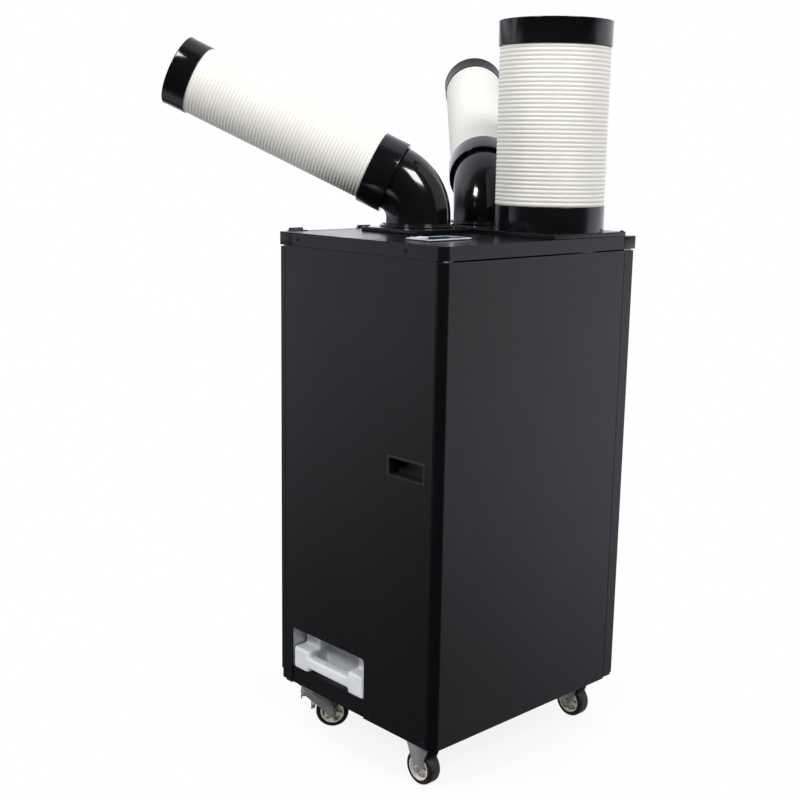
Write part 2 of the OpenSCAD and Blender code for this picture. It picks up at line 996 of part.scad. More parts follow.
module axle() {
    half = leg_x + leg_t;
    nut_h = 4;
    rotate([90, 0, 0]) {
        translate([0, 0, -half - 1])
            cylinder(r = axle_r, h = 2 * half + 2);
        for (z = [-half - nut_h, half])
            translate([0, 0, z])
                cylinder(r = 6.5, h = nut_h, $fn = 6);
    }
}

module rigid_fork() {
    plate = [72, 62];
    rounded_slab([-plate[0] / 2, -plate[1] / 2, plate_z], [plate[0], plate[1], castor_plate_t], 5);
    legs(-34, 34, 0, plate_z + eps);
}

module rigid_forks() {
    color([0.75, 0.77, 0.78])
        for (x = castor_x)
            translate([x, rear_y, 0])
                rotate([0, 0, 90])
                    rigid_fork();
}

// Swivelling fork: crown, two legs, the wheel's axle and the pedal's pin
module swivel_fork() {
    crown_t = 2.5;
    crown_z = plate_z - race_h - gap - crown_t;
    back = -34;
    front = 22;
    difference() {
        union() {
            translate([0, 0, crown_z])
                cylinder(r = 22, h = crown_t);
            slab([back, -leg_x - leg_t, crown_z], [front - back, 2 * (leg_x + leg_t), crown_t]);
        }
        translate([0, 0, crown_z - 5])
            cylinder(r = kingpin_r + running, h = 10);
    }
    legs(back, front, trail, crown_z + crown_t / 2);
    pedal_axis()
        cylinder(r = pin_r, h = 2 * leg_x + 2, center = true);
}

module place_fork(i) {
    translate([castor_x[i], front_y, 0])
        rotate([0, 0, trail_deg])
            children();
}

module fork_left() {
    color([0.75, 0.77, 0.78])
        place_fork(0)
            swivel_fork();
}

module fork_right() {
    color([0.75, 0.77, 0.78])
        place_fork(1)
            swivel_fork();
}

module pedal_axis() {
    translate([pin_at[0], 0, pin_at[1]])
        rotate([90, 0, 0])
            children();
}

// Wheel brake's pedal: a barrel on the pin, a toe tab and an arm with its shoe
module pedal() {
    w = 24;
    arm_w = 20;
    arm = 34;
    z = pin_at[1];
    toe = 21;
    difference() {
        union() {
            pedal_axis()
                cylinder(r = 5, h = w, center = true);
            slab([pin_at[0] - toe, -w / 2, z - 2.5], [toe, w, 2.5]);
            slab([pin_at[0] - toe, -w / 2, z - 8], [2.5, w, 6]);
            slab([pin_at[0] + 2.5, -arm_w / 2, z - arm], [3, arm_w, arm]);
            slab([pin_at[0] + 2.5, -arm_w / 2, z - arm + 2], [9, arm_w, 8]);
        }
        pedal_axis()
            cylinder(r = pin_r + running, h = 40, center = true);
    }
}

module pedal_left() {
    color([0.7, 0.72, 0.74])
        place_fork(0)
            pedal();
}

module pedal_right() {
    color([0.7, 0.72, 0.74])
        place_fork(1)
            pedal();
}

// Rounded rubber tread round a hub, its axis along Y
module tyre() {
    round = 5;
    color([0.04, 0.04, 0.04])
        rotate([90, 0, 0])
            rotate_extrude() {
                translate([hub_r, -wheel_w / 2])
                    square([wheel_r - round - hub_r, wheel_w]);
                translate([hub_r, round - wheel_w / 2])
                    square([wheel_r - hub_r, wheel_w - 2 * round]);
                for (z = [-1, 1])
                    translate([wheel_r - round, z * (wheel_w / 2 - round)])
                        circle(r = round, $fn = 48);
            }
}

// Moulded hub: rim, web, bored boss and six ribs on each face
module hub() {
    rim_t = 3.5;
    web = 8;
    boss_r = 8.5;
    rib_h = 7;
    color([0.88, 0.85, 0.76])
        rotate([90, 0, 0]) {
            translate([0, 0, 0.5 - wheel_w / 2])
                tube(hub_r, hub_r - rim_t, wheel_w - 1);
            translate([0, 0, -web / 2])
                tube(hub_r - rim_t + 0.1, boss_r - 0.5, web);
            translate([0, 0, gap - leg_x])
                tube(boss_r, axle_r + running, 2 * (leg_x - gap));
            for (a = [0 : 60 : 300], z = [-web / 2 - rib_h + 1, web / 2 - 1])
                rotate([0, 0, a])
                    slab([boss_r - 0.5, -0.8, z], [hub_r - rim_t - boss_r + 1, 1.6, rib_h]);
        }
}

module rear_wheel(i) {
    translate([castor_x[i], rear_y, wheel_r])
        rotate([0, 0, 90])
            children();
}

module front_wheel(i) {
    place_fork(i)
        translate([trail, 0, wheel_r])
            children();
}

module tyre_rear_left() {
    rear_wheel(0)
        tyre();
}

module hub_rear_left() {
    rear_wheel(0)
        hub();
}

module tyre_rear_right() {
    rear_wheel(1)
        tyre();
}

module hub_rear_right() {
    rear_wheel(1)
        hub();
}

module tyre_front_left() {
    front_wheel(0)
        tyre();
}

module hub_front_left() {
    front_wheel(0)
        hub();
}

module tyre_front_right() {
    front_wheel(1)
        tyre();
}

module hub_front_right() {
    front_wheel(1)
        hub();
}

base_pan();
chassis();
rear_panel();
left_panel();
front_frame();
side_frame();
lid();
top_rails();
rail_catches();
grips();
screws();
front_grille();
front_filter();
side_grille();
side_filter();
control_bezel();
control_display();
power_rocker();
key_mode();
key_fan();
key_up();
key_down();
exhaust_base();
exhaust_collar();
exhaust_hose();
exhaust_end();
exhaust_flue();
exhaust_fan();
cold_bases();
elbow_left();
hose_collar_left();
cold_hose_left();
nozzle_left();
elbow_right();
hose_collar_right();
cold_hose_right();
nozzle_right();
tank_bay();
drain_tank();
tank_cap();
power_inlet();
compressor();
condenser_coil();
evaporator_coil();
blower_housing();
blower_wheel();
castor_tops();
rigid_forks();
fork_left();
fork_right();
pedal_left();
pedal_right();
tyre_rear_left();
hub_rear_left();
tyre_rear_right();
hub_rear_right();
tyre_front_left();
hub_front_left();
tyre_front_right();
hub_front_right();
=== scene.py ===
"""Portable spot air conditioner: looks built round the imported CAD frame."""
import json
import math

import bmesh
import bpy
from mathutils import Matrix, Vector


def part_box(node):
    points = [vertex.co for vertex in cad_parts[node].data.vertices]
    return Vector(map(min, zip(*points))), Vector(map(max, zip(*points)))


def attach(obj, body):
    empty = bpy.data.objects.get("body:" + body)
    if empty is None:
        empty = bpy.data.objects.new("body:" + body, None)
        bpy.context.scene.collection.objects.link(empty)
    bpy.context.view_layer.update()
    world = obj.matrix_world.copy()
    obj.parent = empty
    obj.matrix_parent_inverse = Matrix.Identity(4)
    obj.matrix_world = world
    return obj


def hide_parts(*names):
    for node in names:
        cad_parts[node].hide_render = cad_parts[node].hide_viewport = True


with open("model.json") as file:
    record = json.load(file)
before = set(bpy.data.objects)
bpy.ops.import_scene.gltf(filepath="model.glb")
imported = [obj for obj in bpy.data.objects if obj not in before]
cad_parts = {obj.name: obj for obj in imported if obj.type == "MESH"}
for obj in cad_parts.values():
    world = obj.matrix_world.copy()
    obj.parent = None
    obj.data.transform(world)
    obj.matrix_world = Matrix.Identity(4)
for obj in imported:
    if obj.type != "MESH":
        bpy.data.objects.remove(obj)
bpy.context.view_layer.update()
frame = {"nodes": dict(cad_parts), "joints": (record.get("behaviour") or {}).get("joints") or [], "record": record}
NODES = frame["nodes"]
JOINTS = {j["name"]: j for j in frame["joints"]}
MM = 0.001
# the colour sockets of a Mix node: its two inputs and its output
MIX_A, MIX_B, MIX_OUT = 6, 7, 2
# the room that the object reflects: its strength, and grey levels against the way a ray looks,
# from 0 (straight away from the named side) to 1 (straight at it)
ROOM_LIGHT = 1.38
BRIGHT_SIDE = (0.28, -0.16, 0.94)
ROOM_HEIGHT = ((0.02, 0.5), (0.12, 0.04), (0.21, 0.08), (0.30, 0.85), (0.36, 0.5),
               (0.42, 0.01), (0.485, 0.66), (0.55, 1.0), (0.65, 1.0), (1.0, 0.5))
DARK_SIDE = (-0.685, -0.728, 0.0)
ROOM_SIDE = ((0.30, 0.92), (0.52, 0.88), (0.59, 0.30), (0.66, 0.06), (0.80, 0.02))


# ---------------------------------------------------------------- measures
def span(node):
    """Lowest corner, highest corner, centre and size of a CAD node."""
    lo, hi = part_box(node)
    return lo, hi, (lo + hi) / 2, hi - lo


def joint_point(name):
    """A point on a joint's axis, in metres."""
    return Vector(JOINTS[name]["pos_m"])


def joint_axis(name):
    """Unit vector along a joint's axis."""
    return Vector(JOINTS[name]["axis"]).normalized()


# --------------------------------------------------------------- materials
def node_graph(name):
    """A new material, its node tree and its Principled shader."""
    mat = bpy.data.materials.new(name)
    mat.use_nodes = True
    tree = mat.node_tree
    return mat, tree, tree.nodes["Principled BSDF"]


def add(tree, kind, **inputs):
    """A shader node with some of its input sockets set."""
    node = tree.nodes.new(kind)
    for key, value in inputs.items():
        node.inputs[key.replace("_", " ")].default_value = value
    return node


def noise(tree, scale, detail=3.0, rough=0.5, stretch=None):
    """Noise in object space, which is the row frame, stretched along an axis if asked."""
    coords = tree.nodes.new("ShaderNodeTexCoord")
    tex = add(tree, "ShaderNodeTexNoise", Scale=scale, Detail=detail, Roughness=rough)
    source = coords.outputs["Object"]
    if stretch:
        mapping = tree.nodes.new("ShaderNodeMapping")
        mapping.inputs["Scale"].default_value = stretch
        tree.links.new(source, mapping.inputs["Vector"])
        source = mapping.outputs["Vector"]
    tree.links.new(source, tex.inputs["Vector"])
    return tex


def spread(tree, source, low, high, start=0.3, end=0.7):
    """Maps a texture's factor from start..end to low..high."""
    node = tree.nodes.new("ShaderNodeMapRange")
    node.inputs["From Min"].default_value = start
    node.inputs["From Max"].default_value = end
    node.inputs["To Min"].default_value = low
    node.inputs["To Max"].default_value = high
    tree.links.new(source, node.inputs["Value"])
    return node.outputs["Result"]


def tint(tree, source, dark, light, start=0.3, end=0.7):
    """A two-colour ramp over a texture's factor."""
    ramp = tree.nodes.new("ShaderNodeValToRGB")
    ramp.color_ramp.elements[0].position = start
    ramp.color_ramp.elements[0].color = (*dark, 1)
    ramp.color_ramp.elements[1].position = end
    ramp.color_ramp.elements[1].color = (*light, 1)
    tree.links.new(source, ramp.inputs["Fac"])
    return ramp.outputs["Color"]


def bump(tree, shader, source, strength, distance):
    """Drives a shader's normal with a bump, its height in metres."""
    node = add(tree, "ShaderNodeBump", Strength=strength, Distance=distance)
    tree.links.new(source, node.inputs["Height"])
    tree.links.new(node.outputs["Normal"], shader.inputs["Normal"])


def finish_material(name, dark, light, rough, patch=6.0, grain=0.0, grain_size=900.0, **shader_values):
    """Base material: broad colour and gloss variation, with an optional fine grain bump."""
    mat, tree, shader = node_graph(name)
    broad = noise(tree, patch, detail=4.0)
    tree.links.new(tint(tree, broad.outputs["Fac"], dark, light), shader.inputs["Base Color"])
    smudge = noise(tree, patch * 2.7, detail=5.0, rough=0.6)
    tree.links.new(spread(tree, smudge.outputs["Fac"], *rough), shader.inputs["Roughness"])
    if grain:
        fine = noise(tree, grain_size, detail=2.0)
        bump(tree, shader, fine.outputs["Fac"], grain, distance=0.0004)
    for key, value in shader_values.items():
        shader.inputs[key.replace("_", " ")].default_value = value
    return mat


def galvanised():
    """Zinc spangle: cells of slightly different grey."""
    mat, tree, shader = node_graph("galvanised_spangle")
    coords = tree.nodes.new("ShaderNodeTexCoord")
    cells = add(tree, "ShaderNodeTexVoronoi", Scale=90.0)
    tree.links.new(coords.outputs["Object"], cells.inputs["Vector"])
    grey = tree.nodes.new("ShaderNodeSeparateColor")
    tree.links.new(cells.outputs["Color"], grey.inputs["Color"])
    colour = tint(tree, grey.outputs["Red"], dark=(0.42, 0.44, 0.44), light=(0.62, 0.64, 0.64),
                  start=0.0, end=1.0)
    tree.links.new(colour, shader.inputs["Base Color"])
    rough = spread(tree, grey.outputs["Green"], low=0.32, high=0.5, start=0.0, end=1.0)
    tree.links.new(rough, shader.inputs["Roughness"])
    shader.inputs["Metallic"].default_value = 0.85
    return mat


def black_below(tree, shader, black, start, end):
    """Blends a shader's colour to black below a height. Returns a factor: 0 at start, 1 at end."""
    coords = tree.nodes.new("ShaderNodeTexCoord")
    apart = tree.nodes.new("ShaderNodeSeparateXYZ")
    tree.links.new(coords.outputs["Object"], apart.inputs["Vector"])
    above = spread(tree, apart.outputs["Z"], low=0.0, high=1.0, start=start, end=end)
    plain = shader.inputs["Base Color"].links[0].from_socket
    mix = tree.nodes.new("ShaderNodeMix")
    mix.data_type = "RGBA"
    mix.inputs[MIX_A].default_value = (*black, 1)
    tree.links.new(above, mix.inputs["Factor"])
    tree.links.new(plain, mix.inputs[MIX_B])
    tree.links.new(mix.outputs[MIX_OUT], shader.inputs["Base Color"])
    return above


def zinc_bay_shaded_floor(lo, sheet):
    """Zinc walls over a floor painted black as shade under the tank: the split lies just above the liner's lowest
    sheet.
    """
    mat = galvanised()
    mat.name = "zinc_bay_shaded_floor"
    tree = mat.node_tree
    shader = tree.nodes["Principled BSDF"]
    # painted shade: the floor below the split is coloured near black to stand in for the shadow under the tank
    wall = black_below(tree, shader, (0.006, 0.006, 0.006), lo + sheet, lo + 1.2 * sheet)
    metal = spread(tree, wall, low=0.0, high=0.85, start=0.0, end=1.0)
    tree.links.new(metal, shader.inputs["Metallic"])
    return mat


def split_rim(level):
    """Pale panel rim that is black where its side meets the lid."""
    blend = 0.1 * MM
    mat = finish_material("panel_rim_split", dark=(0.60, 0.66, 0.70), light=(0.68, 0.74, 0.78),
                          rough=(0.28, 0.38), patch=25.0)
    tree = mat.node_tree
    shader = tree.nodes["Principled BSDF"]
    black_below(tree, shader, (0.008, 0.008, 0.010), level - blend, level + blend)
    return mat


def zinc_plate():
    """Bright zinc plating with drawn streaks and a few dull patches."""
    mat, tree, shader = node_graph("zinc_plate")
    dull = noise(tree, scale=60.0, detail=5.0, rough=0.6)
    colour = tint(tree, dull.outputs["Fac"], dark=(0.46, 0.49, 0.49), light=(0.66, 0.69, 0.69))
    tree.links.new(colour, shader.inputs["Base Color"])
    tree.links.new(spread(tree, dull.outputs["Fac"], low=0.34, high=0.2), shader.inputs["Roughness"])
    streak = noise(tree, scale=220.0, detail=2.0, rough=0.5, stretch=(1.0, 1.0, 6.0))
    bump(tree, shader, streak.outputs["Fac"], strength=0.12, distance=0.0003)
    shader.inputs["Metallic"].default_value = 0.7
    return mat


def rubber():
    """Black tread rubber, dusty and worn grey in patches."""
    mat, tree, shader = node_graph("tread_rubber")
    dust = noise(tree, scale=85.0, detail=6.0, rough=0.65)
    colour = tint(tree, dust.outputs["Fac"], dark=(0.006, 0.006, 0.006), light=(0.020, 0.019, 0.018),
                  start=0.35, end=0.75)
    tree.links.new(colour, shader.inputs["Base Color"])
    tree.links.new(spread(tree, dust.outputs["Fac"], low=0.42, high=0.62), shader.inputs["Roughness"])
    fine = noise(tree, scale=1500.0, detail=3.0)
    bump(tree, shader, fine.outputs["Fac"], strength=0.2, distance=0.0003)
    return mat


def woven(name, thread, colour, dark, axes):
    """Plain-weave mesh seen as crossing waves; their pitch is about 0.63 of thread, in metres."""
    mat, tree, shader = node_graph(name)
    coords = tree.nodes.new("ShaderNodeTexCoord")
    # half a turn over a whole one, rounded as it was when the weave's look was settled
    half_turn, whole_turn = 3.14159, 6.283
    waves = []
    for direction in axes:
        wave = add(tree, "ShaderNodeTexWave", Scale=half_turn / whole_turn / thread)
        wave.bands_direction = direction
        tree.links.new(coords.outputs["Object"], wave.inputs["Vector"])
        waves.append(wave)
    peak = tree.nodes.new("ShaderNodeMath")
    peak.operation = "MAXIMUM"
    for i, wave in enumerate(waves):
        tree.links.new(wave.outputs["Fac"], peak.inputs[i])
    thread_colour = tint(tree, peak.outputs["Value"], dark, colour, start=0.3, end=0.8)
    tree.links.new(thread_colour, shader.inputs["Base Color"])
    shader.inputs["Roughness"].default_value = 0.75
    bump(tree, shader, peak.outputs["Value"], strength=0.5, distance=0.0006)
    return mat


def duct_ivory():
    """Ivory hose plastic: faint patchy soiling, soft sheen, a little light coming through."""
    mat = finish_material("duct_ivory", dark=(0.81, 0.79, 0.71), light=(0.85, 0.835, 0.765),
                          rough=(0.45, 0.6), patch=9.0, grain=0.12, grain_size=700.0)
    shader = mat.node_tree.nodes["Principled BSDF"]
    shader.inputs["Subsurface Weight"].default_value = 0.12
    shader.inputs["Subsurface Radius"].default_value = (0.006, 0.005, 0.004)
    shader.inputs["Subsurface Scale"].default_value = 1.0
    return mat


def tank_plastic():
    """Milky blow-moulded polyethylene that scatters light in its wall."""
    mat = finish_material("tank_polyethylene", dark=(0.74, 0.77, 0.80), light=(0.84, 0.86, 0.88),
                          rough=(0.34, 0.46), patch=14.0, grain=0.25, grain_size=420.0)
    shader = mat.node_tree.nodes["Principled BSDF"]
    shader.inputs["Subsurface Weight"].default_value = 0.45
    shader.inputs["Subsurface Radius"].default_value = (0.012, 0.013, 0.014)
    shader.inputs["Subsurface Scale"].default_value = 1.0
    return mat


MATERIALS = {
    "body_black": finish_material(
        "powder_coat_black", dark=(0.0032, 0.0032, 0.0038), light=(0.0045, 0.0045, 0.0055),
        rough=(0.22, 0.28), patch=3.0, grain=0.04, grain_size=800.0, Specular_IOR_Level=0.33),
    "lid_black": finish_material(
        "lid_coat_black", dark=(0.004, 0.004, 0.005), light=(0.006, 0.006, 0.007),
        rough=(0.20, 0.27), patch=4.0, grain=0.06, grain_size=900.0, Specular_IOR_Level=0.33),
    "pan_black": finish_material(
        "pan_paint_black", dark=(0.003, 0.003, 0.0035), light=(0.005, 0.005, 0.0055),
        rough=(0.45, 0.6), patch=12.0, grain=0.15, grain_size=700.0, Specular_IOR_Level=0.18),
    "galvanised": galvanised(),
    "black_plastic": finish_material(
        "textured_plastic_black", dark=(0.008, 0.008, 0.009), light=(0.012, 0.012, 0.013),
        rough=(0.42, 0.52), patch=20.0, grain=0.35, grain_size=1800.0),
    "gloss_black": finish_material(
        "polished_plastic_black", dark=(0.0045, 0.0045, 0.0055), light=(0.0065, 0.0065, 0.008),
        rough=(0.07, 0.14), patch=8.0, grain=0.02, grain_size=300.0),
    "hose_ivory": duct_ivory(),
    "tank_white": tank_plastic(),
    "cap_blue": finish_material(
        "cap_plastic_blue", dark=(0.03, 0.09, 0.28), light=(0.05, 0.13, 0.36), rough=(0.3, 0.42),
        patch=30.0, grain=0.1, grain_size=900.0),
    "screw_black": finish_material(
        "black_oxide", dark=(0.012, 0.012, 0.012), light=(0.03, 0.03, 0.03), rough=(0.25, 0.4),
        patch=150.0, Metallic=0.6),
    "filter_grey": woven(
        "filter_weave", thread=0.0016, colour=(0.09, 0.10, 0.11), dark=(0.012, 0.013, 0.014),
        axes="XZ"),
    "filter_grey_side": woven(
        "filter_weave_side", thread=0.0016, colour=(0.09, 0.10, 0.11), dark=(0.012, 0.013, 0.014),
        axes="YZ"),
    "panel_pale": finish_material(
        "panel_plastic_pale", dark=(0.60, 0.66, 0.70), light=(0.68, 0.74, 0.78),
        rough=(0.28, 0.38), patch=25.0, grain=0.1, grain_size=1200.0),
    "display_navy": finish_material(
        "membrane_navy", dark=(0.006, 0.012, 0.04), light=(0.009, 0.018, 0.055),
        rough=(0.10, 0.18), patch=25.0),
    "key_navy": finish_material(
        "key_membrane_navy", dark=(0.010, 0.020, 0.07), light=(0.016, 0.03, 0.09),
        rough=(0.2, 0.3), patch=60.0),
    "rocker_white": finish_material(
        "rocker_plastic_white", dark=(0.66, 0.68, 0.69), light=(0.74, 0.76, 0.77),
        rough=(0.3, 0.42), patch=60.0, grain=0.1, grain_size=1500.0),
    "zinc": zinc_plate(),
    "tyre_black": rubber(),
    "hub_cream": finish_material(
        "hub_nylon_cream", dark=(0.68, 0.63, 0.55), light=(0.82, 0.79, 0.72), rough=(0.4, 0.55),
        patch=55.0, grain=0.2, grain_size=900.0),
    "fin_alu": finish_material(
        "fin_aluminium", dark=(0.45, 0.45, 0.43), light=(0.6, 0.6, 0.58), rough=(0.3, 0.45),
        patch=40.0, Metallic=0.9),
    "motor_black": finish_material(
        "motor_enamel", dark=(0.01, 0.01, 0.01), light=(0.02, 0.02, 0.02), rough=(0.3, 0.4),
        patch=20.0, grain=0.1, grain_size=600.0),
    "fan_grey": finish_material(
        "fan_plastic_grey", dark=(0.06, 0.06, 0.065), light=(0.10, 0.10, 0.105), rough=(0.4, 0.5),
        patch=20.0, grain=0.15, grain_size=900.0),
}
SLOT_OF = {part["node"]: part["material_slot"] for part in frame["record"]["subparts"]}


def paint_cad():
    """Gives every CAD node its procedural material."""
    liner_sheet, pale_edge = 1.5 * MM, 1.7 * MM
    special = {
        "side_filter": MATERIALS["filter_grey_side"],
        # the tank bay's floor is painted black as shade under the tank
        "tank_bay": zinc_bay_shaded_floor(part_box("tank_bay")[0].z, liner_sheet),
        "control_bezel": split_rim(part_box("control_bezel")[1].z - pale_edge),
    }
    for name, obj in NODES.items():
        obj.data.materials.clear()
        obj.data.materials.append(special.get(name, MATERIALS[SLOT_OF[name]]))


# ------------------------------------------------------------ mesh helpers
def new_object(name, mesh, slot, body, replaced=()):
    """Links a mesh as a piece that rides on a body and takes a slot's material."""
    obj = bpy.data.objects.new(name, mesh)
    bpy.context.scene.collection.objects.link(obj)
    obj.data.materials.append(MATERIALS[slot])
    for face in obj.data.polygons:
        face.use_smooth = True
    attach(obj, body)
    if replaced:
        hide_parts(*replaced)
    return obj


def from_bmesh(name, bm, slot, body, replaced=()):
    """Makes a piece of a finished bmesh."""
    bmesh.ops.recalc_face_normals(bm, faces=bm.faces)
    mesh = bpy.data.meshes.new(name)
    bm.to_mesh(mesh)
    bm.free()
    return new_object(name, mesh, slot, body, replaced)


def basis(axis):
    """Two unit vectors, square to the axis and to each other."""
    axis = axis.normalized()
    hint = Vector((0, 0, 1))
    nearly_parallel = 0.95
    if abs(axis.dot(hint)) > nearly_parallel:
        hint = Vector((1, 0, 0))
    side = axis.cross(hint).normalized()
    return side, axis.cross(side).normalized()


def revolve(bm, profile, origin, axis, steps=128):
    """Closed (radius, height) profile turned round an axis from origin: a ring-shaped solid."""
    side, up = basis(axis)
    axis = axis.normalized()
    rings = []
    for radius, height in profile:
        ring = []
        for i in range(steps):
            a = 2 * math.pi * i / steps
            point = origin + axis * height + (side * math.cos(a) + up * math.sin(a)) * radius
            ring.append(bm.verts.new(point))
        rings.append(ring)
    count = len(rings)
    for j in range(count):
        here, there = rings[j], rings[(j + 1) % count]
        for i in range(steps):
            k = (i + 1) % steps
            bm.faces.new((here[i], here[k], there[k], there[i]))


def arc(cx, cy, r, start, end, steps=6):
    """Points of a circular arc, angles in degrees."""
    angles = [math.radians(start + (end - start) * i / steps) for i in range(steps + 1)]
    return [(cx + r * math.cos(a), cy + r * math.sin(a)) for a in angles]


def rounded_ring(r_in, r_out, low, high, edge):
    """Profile of a tube wall with rounded corners, as (radius, height)."""
    almost_half = 0.49
    edge = min(edge, (r_out - r_in) * almost_half, (high - low) * almost_half)
    points = arc(r_out - edge, low + edge, edge, start=-90, end=0)
    points += arc(r_out - edge, high - edge, edge, start=0, end=90)
    points += arc(r_in + edge, high - edge, edge, start=90, end=180)
    points += arc(r_in + edge, low + edge, edge, start=180, end=270)
    return points


def ribbed_wall(crest, depth, wall, low, high, ribs, per_rib=8, flat=0.35):
    """Profile of a corrugated hose: rounded ribs outside, the same wave inside."""
    outer = []
    total = ribs * per_rib
    for i in range(total + 1):
        phase = (i % per_rib) / per_rib
        wave = 0.5 - 0.5 * math.cos(2 * math.pi * phase)
        wave = wave ** flat if wave > 0 else 0.0
        outer.append((crest - depth + depth * wave, low + (high - low) * i / total))
    inner = [(r - wall, h) for r, h in reversed(outer)]
    return outer + inner


def box_into(bm, low, high):
    """Adds an axis-aligned box between two corners and returns its vertices."""
    centre = (Vector(low) + Vector(high)) / 2
    size = Vector(high) - Vector(low)
    made = bmesh.ops.create_cube(bm, size=1.0)
    for v in made["verts"]:
        v.co = Vector((v.co.x * size.x, v.co.y * size.y, v.co.z * size.z)) + centre
    return made["verts"]


def soften(obj, width, segments=3, angle=35.0, weld=False):
    """Rounds an object's sharp edges so that they catch the light."""
    if weld:
        modifier = obj.modifiers.new("weld", "WELD")
        modifier.merge_threshold = 0.02 * MM
    modifier = obj.modifiers.new("round", "BEVEL")
    modifier.width = width
    modifier.segments = segments
    modifier.limit_method = "ANGLE"
    modifier.angle_limit = math.radians(angle)
    modifier.harden_normals = True


def soften_cad():
    """Rounds the edges of the pressed and moulded CAD parts that stay visible."""
    widths = {
        "left_panel": 0.5, "front_frame": 0.5, "side_frame": 0.5, "lid": 0.9, "top_rails": 0.9,
        "rear_panel": 0.5, "base_pan": 0.5, "grips": 0.8, "rail_catches": 0.7, "screws": 0.25,
        "exhaust_base": 0.8, "cold_bases": 0.8, "castor_tops": 0.5, "rigid_forks": 0.5,
        "fork_left": 0.5, "fork_right": 0.5, "pedal_left": 0.5, "pedal_right": 0.5,
        "control_bezel": 0.5, "control_display": 0.2, "power_rocker": 0.4, "key_mode": 0.4,
        "key_fan": 0.4, "key_up": 0.4, "key_down": 0.4, "power_inlet": 0.4, "tank_cap": 0.6,
    }
    for name, width in widths.items():
        obj = NODES[name]
        for face in obj.data.polygons:
            face.use_smooth = True
        soften(obj, width * MM, weld=True)
    # wide sheets: the flat face alone sets its corners' normals, so it reflects without creases
    for name in ("left_panel", "rear_panel", "front_frame", "side_frame", "lid", "base_pan"):
        level = NODES[name].modifiers.new("flatten", "WEIGHTED_NORMAL")
        level.weight = 100
        level.keep_sharp = False


# ------------------------------------------------------------------ camera
def place_camera():
    """A long-ish lens held higher than the lid, looking slightly down at the corner."""
    heading, pitch, roll = (math.radians(a) for a in (46.735, -11.477, 0.944))
    reach = math.cos(pitch)
    forward = Vector((reach * math.cos(heading), reach * math.sin(heading), math.sin(pitch)))
    level = Vector((math.sin(heading), -math.cos(heading), 0.0))
    upright = level.cross(forward)
    right = level * math.cos(roll) + upright * math.sin(roll)
    up = upright * math.cos(roll) - level * math.sin(roll)
    camera = bpy.data.objects.new("camera", bpy.data.cameras.new("camera"))
    camera.data.sensor_width = 36.0
    camera.data.lens = 55.87
    camera.data.clip_end = 60.0
    spot = Vector((-1.9542, -1.8966, 1.3054))
    rotation = Matrix((right, up, -forward)).transposed()
    camera.matrix_world = Matrix.Translation(spot) @ rotation.to_4x4()
    bpy.context.scene.collection.objects.link(camera)
    bpy.context.scene.camera = camera


# ------------------------------------------------------------------- ducts
def build_cold_hose(side, start, direction, hose_r, length, hidden):
    """Finely ribbed hose, its plain cuff hidden in the elbow's socket."""
    wall, rib_depth, ribs = 1.5 * MM, 0.9 * MM, 56
    cuff_r = hose_r - 1.3 * MM
    profile = [(cuff_r - wall, 0.0), (cuff_r, 0.0)]
    profile += ribbed_wall(hose_r, rib_depth, wall, hidden, length, ribs, per_rib=6, flat=0.8)
    bm = bmesh.new()
    revolve(bm, profile, start, direction, steps=112)
    from_bmesh("ribbed_cold_hose_" + side, bm, "hose_ivory", side + "_hose", ["cold_hose_" + side])


def build_nozzle(side, start, direction, hose_r, length):
    """End collar with a rolled lip."""
    out, inner = hose_r + 2 * MM, hose_r - 2 * MM
    lip, step, swell = 4 * MM, 0.5 * MM, 0.3 * MM
    chamfer, edge, lip_out, lip_in = 0.4 * MM, 0.8 * MM, 1.0 * MM, 1.4 * MM
    crown = length - 1.6 * MM
    profile = [(inner, chamfer), (inner + chamfer, 0.0)]
    profile += arc(out - edge, edge, edge, start=-90, end=0, steps=4)
    profile += [(out, length - lip - step), (out + swell, length - lip)]
    profile += arc(out, crown, lip_out, start=0, end=90, steps=5)
    profile += arc(inner + lip_in, crown, lip_in, start=90, end=180, steps=5)
    bm = bmesh.new()
    revolve(bm, profile, start, direction, steps=128)
    from_bmesh("end_collar_" + side, bm, "gloss_black", side + "_hose", ["nozzle_" + side])


def build_socket(side, start, direction, inner, through, out, length):
    """Socket ring on the elbow: rounded shoulder, rounded mouth and a stop inside for the hose."""
    edge, mouth, stop = 1.6 * MM, 0.8 * MM, 4.0 * MM
    profile = [(through, 0.0)]
    profile += arc(out - edge, edge, edge, start=-90, end=0, steps=6)
    profile += arc(out - mouth, length - mouth, mouth, start=0, end=90, steps=4)
    profile += arc(inner + mouth, length - mouth, mouth, start=90, end=180, steps=4)
    profile += [(inner, stop + 0.2 * MM), (through, stop)]
    bm = bmesh.new()
    revolve(bm, profile, start, direction, steps=128)
    from_bmesh("hose_socket_" + side, bm, "gloss_black", side + "_elbow", ["hose_collar_" + side])


